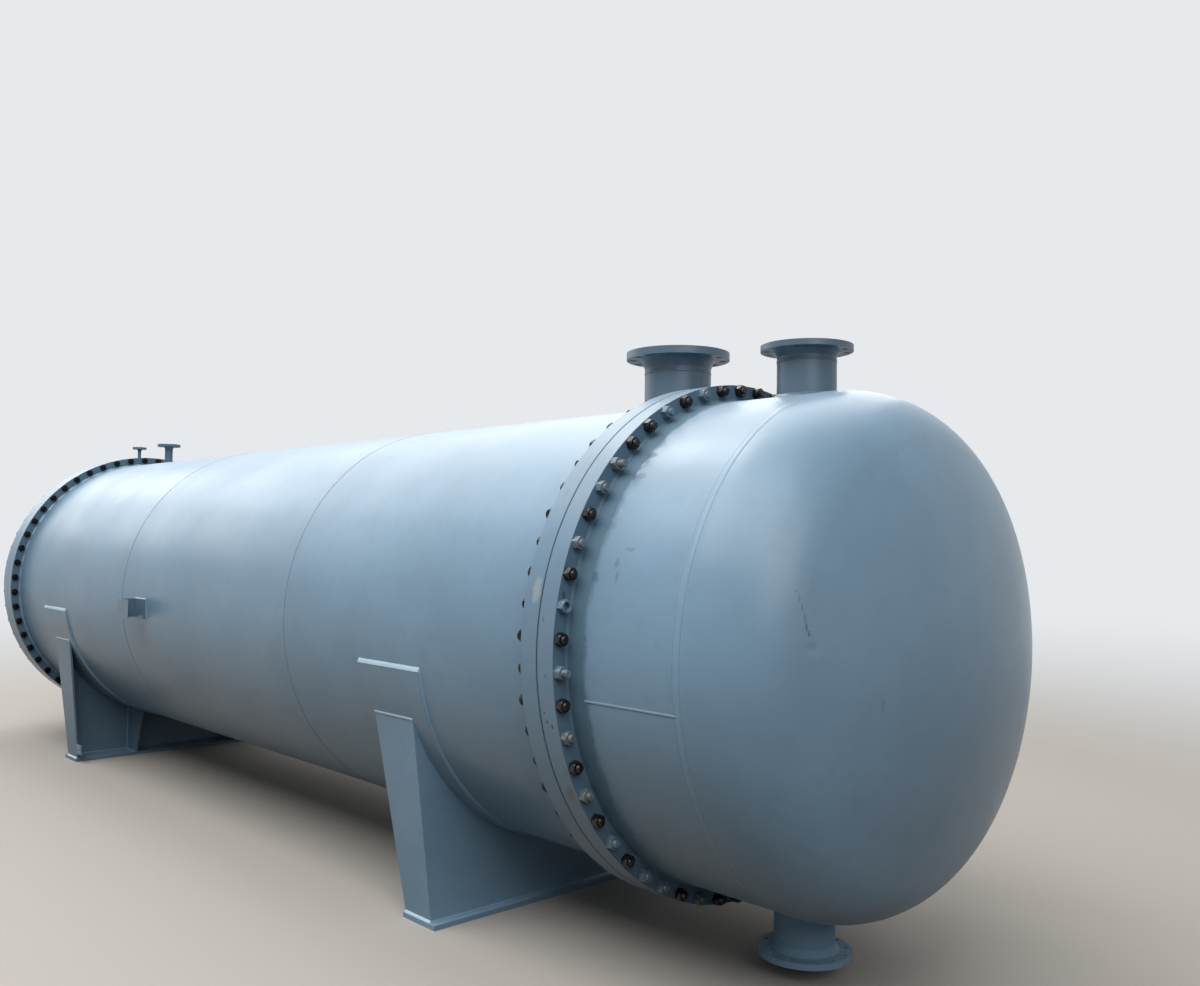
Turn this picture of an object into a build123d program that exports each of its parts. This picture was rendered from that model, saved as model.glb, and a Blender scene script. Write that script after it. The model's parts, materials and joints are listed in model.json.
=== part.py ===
from build123d import *
from dataclasses import dataclass, replace
import math
import os

# A horizontal shell-and-tube vessel on two saddles, from the ground up. All sizes are millimetres.
# The origin is on the ground, at the middle of the near saddle's base plate and under the vessel's
# axis. +X runs along the axis towards the near channel and +Z is up.

# Shell: three rolled courses welded end to end between two tubesheets
shell_bore = 1800.0
shell_wall = 20.0
tubesheet_span = 6000.0  # between the outer faces of the two tubesheets, a standard tube length
near_course_length = 1783.0
middle_course_length = 2015.0

# Girth joints: each tubesheet runs out to the full flange diameter, and a channel flange bolts to it
girth_overhang = 60.0  # how far the flanges and tubesheets stand out past the shell
tubesheet_thickness = 82.0
channel_flange_thickness = 80.0
gasket_thickness = 3.0
gasket_setback = 14.0  # from the bore to the gasket's inner edge
gasket_width = 24.0
channel_hub_height = 6.0  # how far the flange's hub stands out of the barrel at the flange
channel_hub_length = 68.0

# Channels and their 2:1 ellipsoidal heads
channel_wall = 14.0
near_channel_length = 474.0  # from the flange's outer face to the head seam
far_channel_length = 200.0
head_straight = 25.0
head_crown_ratio = 0.9045  # inside crown radius over inside diameter, for a 2:1 ellipsoidal form
head_knuckle_ratio = 0.1727  # inside knuckle radius over inside diameter
inside_knuckle_steps = 3

# Saddles
saddle_clearance = 250.0  # from the ground to the underside of the shell
near_saddle_setback = 873.0  # from the tubesheet's inner face to the middle of the base plate
far_saddle_setback = 751.0
base_length = 1540.0
base_width = 220.0
base_thickness = 20.0
web_edge_distance = 36.0  # from the base plate's outboard edge to the web's outboard face
web_thickness = 12.0
rib_thickness = 12.0
rib_end_margin = 10.0  # base plate that shows beyond the end ribs
rib_edge_margin = 4.0  # base plate that shows beyond the ribs' inboard edges
rib_horn_angle = 68.6  # from straight down to the top corner of an end rib
rib_top_width = 276.0  # of every rib where it meets the pad, from the web's outboard face
inner_rib_spacing = 730.0
pad_thickness = 10.0
pad_width = 440.0
pad_offset = 40.0  # pad's middle, inboard of the base plate's middle
pad_half_angle = 81.4
anchor_hole_diameter = 28.0
anchor_spacing = 1120.0

# Bracket that carries the vessel's bare data plate, and the earthing lug on the far saddle
bracket_setback = 293.0  # from the seam of the middle and far courses to the bracket's middle
bracket_width = 160.0
bracket_height = 105.0
bracket_standoff = 100.0
bracket_drop = 46.0  # middle of the bracket, below the vessel's axis
bracket_thickness = 4.0
bracket_lip = 18.0  # how far the strip's free end stands off the shell
lug_height = 64.0
lug_reach = 75.0
lug_foot = 35.0  # above the base plate
lug_hole_diameter = 13.0

# Where the nozzles stand along the vessel; their own sizes are in the table below
shell_inlet_setback = 200.0  # from the near tubesheet's inner face
channel_nozzle_setback = 280.0  # from the near channel flange's outer face
shell_vent_setback = 343.0  # from the far tubesheet's inner face
channel_vent_setback = 92.0  # from the far channel flange's outer face
raised_face = 2.0


@dataclass
class Nozzle:
    """A pipe stub with a weld-neck flange, radial to the vessel and upright."""
    station: float  # position along X
    standout: float  # from the shell's outside to the gasket face
    up: int  # 1 upwards, -1 downwards
    neck_diameter: float
    neck_wall: float
    flange_diameter: float
    flange_thickness: float
    face_diameter: float
    hub_diameter: float
    hub_height: float  # from the gasket face to the weld
    hub_straight: float  # of the hub, at the neck's own diameter, next to the weld
    hub_round: float  # between the hub and the flange's back
    bolt_circle: float
    hole_diameter: float
    holes: int

    @property
    def rise(self):
        """From the vessel's axis to the gasket face."""
        return shell_radius + self.standout


# Places that the sizes above lead to
shell_radius = shell_bore / 2 + shell_wall
channel_radius = shell_bore / 2 + channel_wall
girth_radius = shell_radius + girth_overhang
gasket_inside = shell_bore / 2 + gasket_setback
gasket_outside = gasket_inside + gasket_width
pad_radius = shell_radius + pad_thickness
axis_height = saddle_clearance + shell_radius
near_sheet_in = near_saddle_setback
near_sheet_out = near_sheet_in + tubesheet_thickness
near_flange_in = near_sheet_out + gasket_thickness
near_flange_out = near_flange_in + channel_flange_thickness
near_seam = near_flange_out + near_channel_length
far_sheet_out = near_sheet_out - tubesheet_span
far_sheet_in = far_sheet_out + tubesheet_thickness
far_flange_in = far_sheet_out - gasket_thickness
far_flange_out = far_flange_in - channel_flange_thickness
far_seam = far_flange_out - far_channel_length
near_course_seam = near_sheet_in - near_course_length
middle_course_seam = near_course_seam - middle_course_length
far_saddle_station = far_sheet_in + far_saddle_setback

nozzles = {
    "shell_inlet": Nozzle(
        station=near_sheet_in - shell_inlet_setback, standout=232.0, up=1,
        neck_diameter=273.0, neck_wall=10.0,
        flange_diameter=425.0, flange_thickness=32.0, face_diameter=335.0,
        hub_diameter=298.0, hub_height=88.0, hub_straight=18.0, hub_round=12.0,
        bolt_circle=370.0, hole_diameter=30.0, holes=12),
    "channel_top": Nozzle(
        station=near_flange_out + channel_nozzle_setback, standout=185.0, up=1,
        neck_diameter=219.0, neck_wall=8.0,
        flange_diameter=340.0, flange_thickness=24.0, face_diameter=268.0,
        hub_diameter=246.0, hub_height=62.0, hub_straight=16.0, hub_round=10.0,
        bolt_circle=295.0, hole_diameter=22.0, holes=12),
    "shell_vent": Nozzle(
        station=far_sheet_in + shell_vent_setback, standout=150.0, up=1,
        neck_diameter=57.0, neck_wall=5.0,
        flange_diameter=165.0, flange_thickness=20.0, face_diameter=99.0,
        hub_diameter=74.0, hub_height=45.0, hub_straight=8.0, hub_round=5.0,
        bolt_circle=125.0, hole_diameter=18.0, holes=4),
    "channel_vent": Nozzle(
        station=far_flange_out - channel_vent_setback, standout=160.0, up=1,
        neck_diameter=25.0, neck_wall=4.0,
        flange_diameter=105.0, flange_thickness=18.0, face_diameter=56.0,
        hub_diameter=40.0, hub_height=40.0, hub_straight=6.0, hub_round=4.0,
        bolt_circle=75.0, hole_diameter=14.0, holes=4),
}
nozzles["channel_bottom"] = replace(nozzles["channel_top"], up=-1)


def ring_along_x(start, end, outer, inner):
    """A round tube about the vessel's axis."""
    section = Plane((start, 0, axis_height), x_dir=(0, 1, 0), z_dir=(1, 0, 0))
    return extrude(section * (Circle(outer) - Circle(inner)), end - start)


def bar_along_x(start, end, radius):
    """A solid round about the vessel's axis."""
    section = Plane((start, 0, axis_height), x_dir=(0, 1, 0), z_dir=(1, 0, 0))
    return extrude(section * Circle(radius), end - start)


def channel_flange(outer_face, side):
    """A girth flange with its hub; side is 1 at the near end and -1 at the far end."""
    inner_face = outer_face - side * channel_flange_thickness
    bore = shell_bore / 2
    profile = Polyline(
        (inner_face, bore), (inner_face, girth_radius), (outer_face, girth_radius),
        (outer_face, channel_radius + channel_hub_height),
        (outer_face + side * channel_hub_length, channel_radius),
        (outer_face + side * channel_hub_length, bore), close=True)
    ring = revolve(Plane.XZ * make_face(profile), Axis.X)
    return Pos(0, 0, axis_height) * ring


def dome(growth, knuckle_steps):
    """A solid 2:1 dished form that bulges along +X, made of a knuckle and a spherical crown.

    growth is added to the inside radii. The knuckle is an arc, or a few chords of it where
    knuckle_steps isn't 0.
    """
    rim = shell_bore / 2 + growth
    crown = shell_bore * head_crown_ratio + growth
    knuckle = shell_bore * head_knuckle_ratio + growth
    centre_y = rim - knuckle
    centre_depth = math.sqrt((crown - knuckle) ** 2 - centre_y ** 2)  # crown's centre, behind the rim
    tangent = math.atan2(centre_depth, centre_y)  # from the radial direction to the tangent point

    def on_knuckle(share):
        turn = share * tangent
        return head_straight + knuckle * math.sin(turn), centre_y + knuckle * math.cos(turn)

    if knuckle_steps:
        bend = Polyline(*[on_knuckle(step / knuckle_steps) for step in range(knuckle_steps + 1)])
    else:
        bend = ThreePointArc(on_knuckle(0), on_knuckle(0.5), on_knuckle(1))
    end_x, end_y = on_knuckle(1)
    outline = bend + Polyline((end_x, end_y), (end_x, 0), (0, 0), (0, rim), (head_straight, rim))
    barrel = revolve(Plane.XZ * make_face(outline), Axis.X)
    ball = Pos(head_straight - centre_depth, 0, 0) * Rotation(0, 0, 180) * Sphere(crown)
    beyond = Pos(end_x, 0, 0) * Box(crown, 2 * crown, 2 * crown, align=(Align.MIN, Align.CENTER, Align.CENTER))
    return barrel + (ball & beyond)


def dished_head(seam, side):
    """A dished head with its short straight edge, hollow from its seam on."""
    head = dome(channel_wall, 0) - dome(0, inside_knuckle_steps)
    turn = 0 if side > 0 else 180
    return Pos(seam, 0, axis_height) * Rotation(0, 0, turn) * head


def nozzle_flange(nozzle):
    """A weld-neck flange with a raised face and its bolt holes, gasket face outwards."""
    bore = nozzle.neck_diameter / 2 - nozzle.neck_wall
    top = nozzle.rise
    neck = nozzle.neck_diameter / 2
    back = top - nozzle.flange_thickness
    end = top - nozzle.hub_height
    profile = make_face(Polyline(
        (bore, top), (nozzle.face_diameter / 2, top), (nozzle.face_diameter / 2, top - raised_face),
        (nozzle.flange_diameter / 2, top - raised_face), (nozzle.flange_diameter / 2, back),
        (nozzle.hub_diameter / 2, back), (neck, end + nozzle.hub_straight), (neck, end), (bore, end),
        close=True))
    corner = Vector(nozzle.hub_diameter / 2, back, 0)
    root = profile.vertices().sort_by_distance(corner)[0]
    body = revolve(Plane.XZ * fillet(root, nozzle.hub_round), Axis.Z)
    middle = top - nozzle.flange_thickness / 2
    holes = PolarLocations(nozzle.bolt_circle / 2, nozzle.holes, start_angle=180 / nozzle.holes)
    drill = Cylinder(nozzle.hole_diameter / 2, 2 * nozzle.flange_thickness)
    for place in holes:
        body -= Pos(0, 0, middle) * place * drill
    return place_nozzle(body, nozzle)


def nozzle_neck(nozzle):
    """The pipe from the flange's hub down to the inside of the wall that it passes through."""
    outer = nozzle.neck_diameter / 2
    top = nozzle.rise - nozzle.hub_height
    pipe = extrude(Circle(outer) - Circle(outer - nozzle.neck_wall), top)
    hollow = Rotation(0, 90, 0) * Cylinder(shell_bore / 2, 4 * nozzle.neck_diameter)
    return place_nozzle(pipe - hollow, nozzle)


def place_nozzle(body, nozzle):
    """Turns a piece drawn upwards from the vessel's axis to its side and moves it to its station."""
    turned = body if nozzle.up > 0 else Rotation(180, 0, 0) * body
    return Pos(nozzle.station, 0, axis_height) * turned


def nozzle_opening(nozzle):
    """The hole that a neck passes through."""
    drill = extrude(Circle(nozzle.neck_diameter / 2), nozzle.rise)
    return place_nozzle(drill, nozzle)


def polygon_along_x(start, length, points):
    """A plate drawn as Y and Z points and raised along X."""
    section = Plane((start, 0, 0), x_dir=(0, 1, 0), z_dir=(1, 0, 0))
    return extrude(section * make_face(Polyline(*points, close=True)), length)


def polygon_across_y(middle, thickness, points):
    """A plate drawn as X and Z points, as thick on both sides of its middle."""
    section = Plane.XZ.offset(-middle)
    return extrude(section * make_face(Polyline(*points, close=True)), thickness / 2, both=True)


# Lines that the saddle plates share: the end ribs lean out from the base plate to the pad's horns
horn = math.radians(rib_horn_angle)
rib_foot_y = base_length / 2 - rib_end_margin
horn_y = pad_radius * math.sin(horn)
horn_z = axis_height - pad_radius * math.cos(horn)
rib_lean = (horn_y - rib_foot_y) / (horn_z - base_thickness)
rib_across = rib_thickness * math.hypot(1, rib_lean)
rib_base_width = base_width - web_edge_distance - rib_edge_margin
inner_rib_end = inner_rib_spacing / 2 + rib_thickness / 2
inner_rib_top = axis_height - math.sqrt(pad_radius ** 2 - inner_rib_end ** 2)
plate_top = axis_height - pad_radius * math.cos(math.radians(pad_half_angle))


def lean_y(z):
    """Y of an end rib's outer face at a height."""
    return rib_foot_y + rib_lean * (z - base_thickness)


def end_rib_width(z):
    """How far an end rib reaches at a height, from the web's outboard face."""
    share = (z - base_thickness) / (horn_z - base_thickness)
    return rib_base_width + share * (rib_top_width - rib_base_width)


def end_rib_layer(station, end, start_z, end_z):
    """A leaning layer with an end rib's two faces; end is -1 in front and 1 behind."""
    points = [(end * lean_y(start_z), start_z), (end * lean_y(end_z), end_z),
              (end * (lean_y(end_z) - rib_across), end_z), (end * (lean_y(start_z) - rib_across), start_z)]
    return polygon_along_x(station - pad_width, 2 * pad_width, points)


def saddle(station, side):
    """One saddle's pieces; side is 1 where +X is outboard, and -1 where -X is."""
    def at(inward):
        """X of a place that far inboard of the web's outer face."""
        return station + side * (base_width / 2 - web_edge_distance - inward)

    pad_bar = bar_along_x(station - pad_width, station + pad_width, pad_radius)
    pieces = {}
    base = Pos(station, 0, base_thickness / 2) * Box(base_width, base_length, base_thickness)
    anchor_x = (at(web_thickness) + at(rib_base_width)) / 2
    hole = extrude(Circle(anchor_hole_diameter / 2), base_thickness)
    for end in (-1, 1):
        base -= Pos(anchor_x, end * anchor_spacing / 2, 0) * hole
    pieces["base_plate"] = base

    web_end = rib_foot_y - rib_across
    web_top = lean_y(plate_top) - rib_across
    web_points = [(-web_end, base_thickness), (-web_top, plate_top),
                  (web_top, plate_top), (web_end, base_thickness)]
    web_start = min(at(0), at(web_thickness))
    pieces["web"] = polygon_along_x(web_start, web_thickness, web_points) - pad_bar

    for end, word in ((-1, "front"), (1, "back")):
        end_points = [(at(0), base_thickness), (at(0), plate_top),
                      (at(end_rib_width(plate_top)), plate_top), (at(rib_base_width), base_thickness)]
        profile = polygon_across_y(0, 2 * base_length, end_points)
        layer = end_rib_layer(station, end, base_thickness, plate_top)
        pieces[f"end_rib_{word}"] = (layer & profile) - pad_bar
        inner_points = [(at(web_thickness), base_thickness), (at(web_thickness), inner_rib_top),
                        (at(rib_top_width), inner_rib_top), (at(rib_base_width), base_thickness)]
        inner = polygon_across_y(end * inner_rib_spacing / 2, rib_thickness, inner_points)
        pieces[f"inner_rib_{word}"] = inner - pad_bar

    middle = station - side * pad_offset
    ring = ring_along_x(middle - pad_width / 2, middle + pad_width / 2, pad_radius, shell_radius)
    reach = 2 * pad_radius
    edge_y = reach * math.sin(math.radians(pad_half_angle))
    edge_z = axis_height - reach * math.cos(math.radians(pad_half_angle))
    wedge = [(0, axis_height), (edge_y, edge_z), (edge_y, -reach), (-edge_y, -reach), (-edge_y, edge_z)]
    pieces["wrapper_pad"] = ring & polygon_along_x(middle - pad_width, 2 * pad_width, wedge)
    return pieces


def data_plate_bracket():
    """A strip bent three times: a bare front plate, a leg, a back on the shell and a short lip."""
    front = -shell_radius - bracket_standoff
    middle = middle_course_seam + bracket_setback
    span = (middle - bracket_width, middle + bracket_width)
    from_front = (Align.CENTER, Align.MIN, Align.CENTER)
    from_corner = (Align.MIN, Align.MIN, Align.CENTER)
    block = Pos(middle, front, 0) * Box(bracket_width, -front, bracket_height, align=from_front)
    corner = Pos(middle - bracket_width / 2 + bracket_thickness, front + bracket_thickness, 0)
    open_depth = bracket_standoff - bracket_thickness - bracket_lip
    open_side = corner * Box(bracket_width, open_depth, bracket_height, align=from_corner)
    inside_width = bracket_width - 2 * bracket_thickness
    inside = corner * Box(inside_width, -front, bracket_height, align=from_corner)
    lift = Pos(0, 0, axis_height - bracket_drop)
    inside = lift * inside - bar_along_x(*span, shell_radius + bracket_thickness)
    return lift * (block - open_side) - inside - bar_along_x(*span, shell_radius)


def earthing_lug():
    """A small drilled plate on the inboard edge of the far saddle's front end rib."""
    low = base_thickness + lug_foot
    high = low + lug_height
    web_face = far_saddle_station - base_width / 2 + web_edge_distance

    def edge_x(z):
        return web_face + end_rib_width(z)

    points = [(edge_x(low), low), (edge_x(high), high), (edge_x(high) + lug_reach, high),
              (edge_x(low) + lug_reach, low)]
    plate = polygon_across_y(0, 2 * base_length, points) & end_rib_layer(far_saddle_station, -1, low, high)
    hole_x = edge_x((low + high) / 2) + lug_reach / 2
    drill = extrude(Plane.XZ * Circle(lug_hole_diameter / 2), base_length, both=True)
    return plate - Pos(hole_x, 0, (low + high) / 2) * drill


parts = {}
parts["near_shell_course"] = ring_along_x(near_course_seam, near_sheet_in, shell_radius, shell_bore / 2)
parts["middle_shell_course"] = ring_along_x(
    middle_course_seam, near_course_seam, shell_radius, shell_bore / 2)
parts["far_shell_course"] = ring_along_x(far_sheet_in, middle_course_seam, shell_radius, shell_bore / 2)
parts["near_shell_course"] -= nozzle_opening(nozzles["shell_inlet"])
parts["far_shell_course"] -= nozzle_opening(nozzles["shell_vent"])
parts["near_tubesheet"] = bar_along_x(near_sheet_in, near_sheet_out, girth_radius)
parts["far_tubesheet"] = bar_along_x(far_sheet_out, far_sheet_in, girth_radius)
parts["near_gasket"] = ring_along_x(near_sheet_out, near_flange_in, gasket_outside, gasket_inside)
parts["far_gasket"] = ring_along_x(far_flange_in, far_sheet_out, gasket_outside, gasket_inside)
parts["near_channel_flange"] = channel_flange(near_flange_out, 1)
parts["far_channel_flange"] = channel_flange(far_flange_out, -1)
parts["near_channel_barrel"] = ring_along_x(
    near_flange_out + channel_hub_length, near_seam, channel_radius, shell_bore / 2)
parts["near_channel_barrel"] -= nozzle_opening(nozzles["channel_top"])
parts["near_channel_barrel"] -= nozzle_opening(nozzles["channel_bottom"])
parts["far_channel_barrel"] = ring_along_x(
    far_seam, far_flange_out - channel_hub_length, channel_radius, shell_bore / 2)
parts["far_channel_barrel"] -= nozzle_opening(nozzles["channel_vent"])
parts["near_head"] = dished_head(near_seam, 1)
parts["far_head"] = dished_head(far_seam, -1)
for owner in ("shell", "channel"):
    own = [nozzle for name, nozzle in nozzles.items() if name.startswith(owner)]
    parts[f"{owner}_nozzle_flanges"] = Compound([nozzle_flange(nozzle) for nozzle in own])
    parts[f"{owner}_nozzle_necks"] = Compound([nozzle_neck(nozzle) for nozzle in own])
for name, piece in saddle(0, 1).items():
    parts[f"near_saddle_{name}"] = piece
for name, piece in saddle(far_saddle_station, -1).items():
    parts[f"far_saddle_{name}"] = piece
parts["data_plate_bracket"] = data_plate_bracket()
parts["earthing_lug"] = earthing_lug()

os.makedirs("parts", exist_ok=True)
for name, piece in parts.items():
    export_step(piece, f"parts/{name}.step")
    print(name, round(piece.volume / 1e6, 2), "litres")
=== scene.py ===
# %% [markdown]
# # A shell-and-tube pressure vessel on two saddles
#
# The vessel is a rolled steel shell between two thick tubesheets, with a bolted channel and a dished
# head beyond each. The solids come in from the imported frame, in metres. This script gives them paint,
# and adds what is too fine for the solids: studs and nuts, weld beads, fillets and marks.
# First comes the frame.

# %% Load the frame
import json
import math
import random
import bpy
from mathutils import Matrix, Vector


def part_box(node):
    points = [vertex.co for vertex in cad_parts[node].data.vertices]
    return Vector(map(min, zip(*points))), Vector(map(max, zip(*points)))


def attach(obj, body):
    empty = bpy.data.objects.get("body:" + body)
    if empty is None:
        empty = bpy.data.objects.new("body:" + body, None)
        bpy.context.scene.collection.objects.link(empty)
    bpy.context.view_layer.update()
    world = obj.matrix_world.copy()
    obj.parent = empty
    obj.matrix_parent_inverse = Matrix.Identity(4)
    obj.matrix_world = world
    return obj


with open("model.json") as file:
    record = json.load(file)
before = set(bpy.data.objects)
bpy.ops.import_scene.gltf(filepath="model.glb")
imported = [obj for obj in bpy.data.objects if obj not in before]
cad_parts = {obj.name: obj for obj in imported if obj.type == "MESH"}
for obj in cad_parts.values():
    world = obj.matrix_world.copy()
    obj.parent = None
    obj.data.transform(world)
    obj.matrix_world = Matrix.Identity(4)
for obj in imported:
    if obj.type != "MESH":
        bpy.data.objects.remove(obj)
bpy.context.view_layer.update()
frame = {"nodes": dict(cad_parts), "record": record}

# %% [markdown]
# ## Where the vessel's own lines are
#
# Every piece below is placed by the solids' own boxes, so nothing has to be measured twice. The
# vessel is round about one level line, so most places are best told by three numbers: how far along,
# how far out, and the angle round. The angle is 0 at the back, 90 degrees on top and 180 in front.

# %% Read the vessel's lines from the solids
sheet_low, sheet_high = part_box("near_tubesheet")
axis_z = (sheet_low.z + sheet_high.z) / 2
girth_radius = (sheet_high.z - sheet_low.z) / 2
course_low, course_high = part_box("middle_shell_course")
shell_radius = (course_high.y - course_low.y) / 2
barrel_low, barrel_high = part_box("near_channel_barrel")
barrel_radius = (barrel_high.y - barrel_low.y) / 2
near_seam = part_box("near_head")[0].x
far_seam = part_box("far_head")[1].x


def directions(angle):
    """Directions out from the axis and round it, at an angle in degrees."""
    turn = math.radians(angle)
    return Vector((0, math.cos(turn), math.sin(turn))), Vector((0, -math.sin(turn), math.cos(turn)))


def around(x, radius, angle):
    """The place that far along, that far out and at that angle."""
    return Vector((x, 0, axis_z)) + directions(angle)[0] * radius


print("axis height", round(axis_z, 3))
print("radii of shell, barrel, girth:", [round(r, 3) for r in (shell_radius, barrel_radius, girth_radius)])

# %% [markdown]
# ## Camera
#
# The photograph was taken at eye height, close to the near head, with the camera turned and tilted a
# little. A camera can be placed by three turns, but its heading, pitch and roll are easier to keep
# apart as vectors: first the way it looks, then its right and up, then the small roll.

# %% Place the camera
camera = bpy.data.objects.new("camera", bpy.data.cameras.new("camera"))
bpy.context.scene.collection.objects.link(camera)
bpy.context.scene.camera = camera
heading, pitch, roll = 0.8131, 0.0435, 0.0127
camera_place = (3.6775, -3.2771, 1.5473)
ahead = Vector((-math.sin(heading) * math.cos(pitch), math.cos(heading) * math.cos(pitch), math.sin(pitch)))
right = Vector((math.cos(heading), math.sin(heading), 0))
up = right.cross(ahead)
rolled_right = right * math.cos(roll) + up * math.sin(roll)
rolled_up = up * math.cos(roll) - right * math.sin(roll)
turned = Matrix((rolled_right, rolled_up, -ahead)).transposed().to_4x4()
camera.matrix_world = Matrix.Translation(camera_place) @ turned
camera.data.sensor_width = 36
camera.data.lens = 32.351
camera.data.clip_end = 400
print("camera at", [round(v, 2) for v in camera.matrix_world.translation], "lens", camera.data.lens)

# %% [markdown]
# ## Studio
#
# Glossy paint shows whatever is round it, so the room matters as much as the lamps. A big soft lamp
# overhead gives the long highlight on the shell's upper side, and a small one beside it the glint on
# the channel. A low one beyond the far end lights the far half, two wide ones fill the shade from the
# front and from off the near head, and an even room does the rest. The floor is one plain pale colour
# that keeps the vessel's shadow. Far off it turns into the backdrop, so that no horizon shows.

# %% Node helpers
def add_node(tree, kind, links=None, **settings):
    """Adds a node; links gives its inputs, as numbers or as the sockets that feed them."""
    made = tree.nodes.new(kind)
    for name, value in settings.items():
        setattr(made, name, value)
    for name, value in (links or {}).items():
        if isinstance(value, bpy.types.NodeSocket):
            tree.links.new(value, made.inputs[name])
        else:
            made.inputs[name].default_value = value
    return made


def ramp(tree, value, start, end, low=0.0, high=1.0):
    """Turns a value that runs from start to end into one from low to high, eased at both ends."""
    links = {"Value": value, "From Min": start, "From Max": end, "To Min": low, "To Max": high}
    return add_node(tree, "ShaderNodeMapRange", links, interpolation_type="SMOOTHSTEP").outputs["Result"]


def noise(tree, place, scale, detail=2.0, roughness=0.5):
    """A cloud-like value about 0.5; scale is in patches a metre."""
    links = {"Vector": place, "Scale": scale, "Detail": detail, "Roughness": roughness}
    return add_node(tree, "ShaderNodeTexNoise", links).outputs["Fac"]


def blend(tree, share, first, second):
    """Goes from the first colour to the second as share goes from 0 to 1."""
    links = {"Factor": share, "A": first, "B": second}
    return add_node(tree, "ShaderNodeMix", links, data_type="RGBA").outputs["Result"]


def work(tree, operation, *values):
    """One step of arithmetic."""
    return add_node(tree, "ShaderNodeMath", dict(enumerate(values)), operation=operation).outputs["Value"]


def vector_step(tree, operation, first, second=(0, 0, 0), result="Vector"):
    """One step of vector arithmetic."""
    return add_node(tree, "ShaderNodeVectorMath", {0: first, 1: second}, operation=operation).outputs[result]


def bumps(tree, height, depth, strength, normal=None):
    """A normal roughened by a height texture; depth is in metres."""
    links = {"Height": height, "Distance": depth, "Strength": strength}
    if normal:
        links["Normal"] = normal
    return add_node(tree, "ShaderNodeBump", links).outputs["Normal"]


def new_material(name):
    """A material with a principled shader, its tree, and the place on it in the vessel's metres."""
    material = bpy.data.materials.new(name)
    material.use_nodes = True
    tree = material.node_tree
    place = add_node(tree, "ShaderNodeTexCoord").outputs["Object"]
    return material, tree, tree.nodes["Principled BSDF"], place


def seen_directly(tree):
    """1 for what the camera sees straight, in a reflection or through glass, and 0 for light."""
    rays = add_node(tree, "ShaderNodeLightPath")
    mirrored = work(tree, "MAXIMUM", rays.outputs["Is Glossy Ray"], rays.outputs["Is Transmission Ray"])
    return work(tree, "MAXIMUM", rays.outputs["Is Camera Ray"], mirrored)


# %% Floor
backdrop_colour = (0.80, 0.82, 0.84, 1)
vessel_middle = (-1.9, 0, 1.2)
floor_reach = 150
fade_from, fade_to = 5, 26  # distances from the vessel's middle
floor_seen, floor_bounce = (0.42, 0.39, 0.355, 1), (0.08, 0.07, 0.06, 1)
corners = [(-floor_reach, -floor_reach, 0), (floor_reach, -floor_reach, 0),
           (floor_reach, floor_reach, 0), (-floor_reach, floor_reach, 0)]
floor_mesh = bpy.data.meshes.new("floor")
floor_mesh.from_pydata(corners, [], [(0, 1, 2, 3)])
floor = bpy.data.objects.new("floor", floor_mesh)
bpy.context.scene.collection.objects.link(floor)
floor_paint, floor_tree, floor_shader, floor_place = new_material("studio_floor")
floor_colour = blend(floor_tree, seen_directly(floor_tree), floor_bounce, floor_seen)
floor_tree.links.new(floor_colour, floor_shader.inputs["Base Color"])
floor_shader.inputs["Roughness"].default_value = 0.9
floor_shader.inputs["Specular IOR Level"].default_value = 0.2
distance = vector_step(floor_tree, "DISTANCE", floor_place, vessel_middle, "Value")
nearness = work(floor_tree, "DIVIDE", 1.0, distance)
backdrop_share = ramp(floor_tree, nearness, 1 / fade_from, 1 / fade_to)
far_off = work(floor_tree, "MULTIPLY", backdrop_share, seen_directly(floor_tree))
plain = add_node(floor_tree, "ShaderNodeEmission", {"Color": backdrop_colour})
fade = add_node(floor_tree, "ShaderNodeMixShader",
                {"Fac": far_off, 1: floor_shader.outputs["BSDF"], 2: plain.outputs["Emission"]})
floor_tree.links.new(fade.outputs["Shader"], floor_tree.nodes["Material Output"].inputs["Surface"])
floor.data.materials.append(floor_paint)

# %% Room and lamps
room_colour, room_strength = (0.90, 0.96, 1.0, 1), 0.135
world = bpy.data.worlds.new("studio")
bpy.context.scene.world = world
world.use_nodes = True
room = world.node_tree
shown = room.nodes["Background"]
shown.inputs["Color"].default_value = backdrop_colour
lit = add_node(room, "ShaderNodeBackground", {"Color": room_colour, "Strength": room_strength})
mixed = add_node(room, "ShaderNodeMixShader",
                 {"Fac": seen_directly(room), 1: lit.outputs["Background"], 2: shown.outputs["Background"]})
room.links.new(mixed.outputs["Shader"], room.nodes["World Output"].inputs["Surface"])


def soft_lamp(name, place, aim, wide, deep, watts):
    """A rectangular lamp that looks at a point."""
    data = bpy.data.lights.new(name, "AREA")
    data.shape = "RECTANGLE"
    data.size, data.size_y = wide, deep
    data.energy = watts
    lamp = bpy.data.objects.new(name, data)
    bpy.context.scene.collection.objects.link(lamp)
    lamp.location = place
    lamp.rotation_euler = (Vector(aim) - Vector(place)).to_track_quat("-Z", "Y").to_euler()


soft_lamp("overhead", (-6.2, 2.4, 9.0), (-3.2, 0, 1.2), 18, 12, 1110)
soft_lamp("far_glint", (-5.2, 0.4, 10.0), (1.5, -0.6, 1.8), 2.4, 1.2, 120)
soft_lamp("beyond", (-22, -3, 8.5), (-3.5, 0, 1.5), 12, 6, 380)
soft_lamp("front_fill", (0.6, -6.4, 10.8), (0.2, 0, 1.2), 16, 8, 1560)
soft_lamp("near_fill", (10.0, -5.0, 7.0), (1.8, 0, 1.2), 7, 6, 410)
bpy.context.scene.view_settings.view_transform = "Standard"
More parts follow.
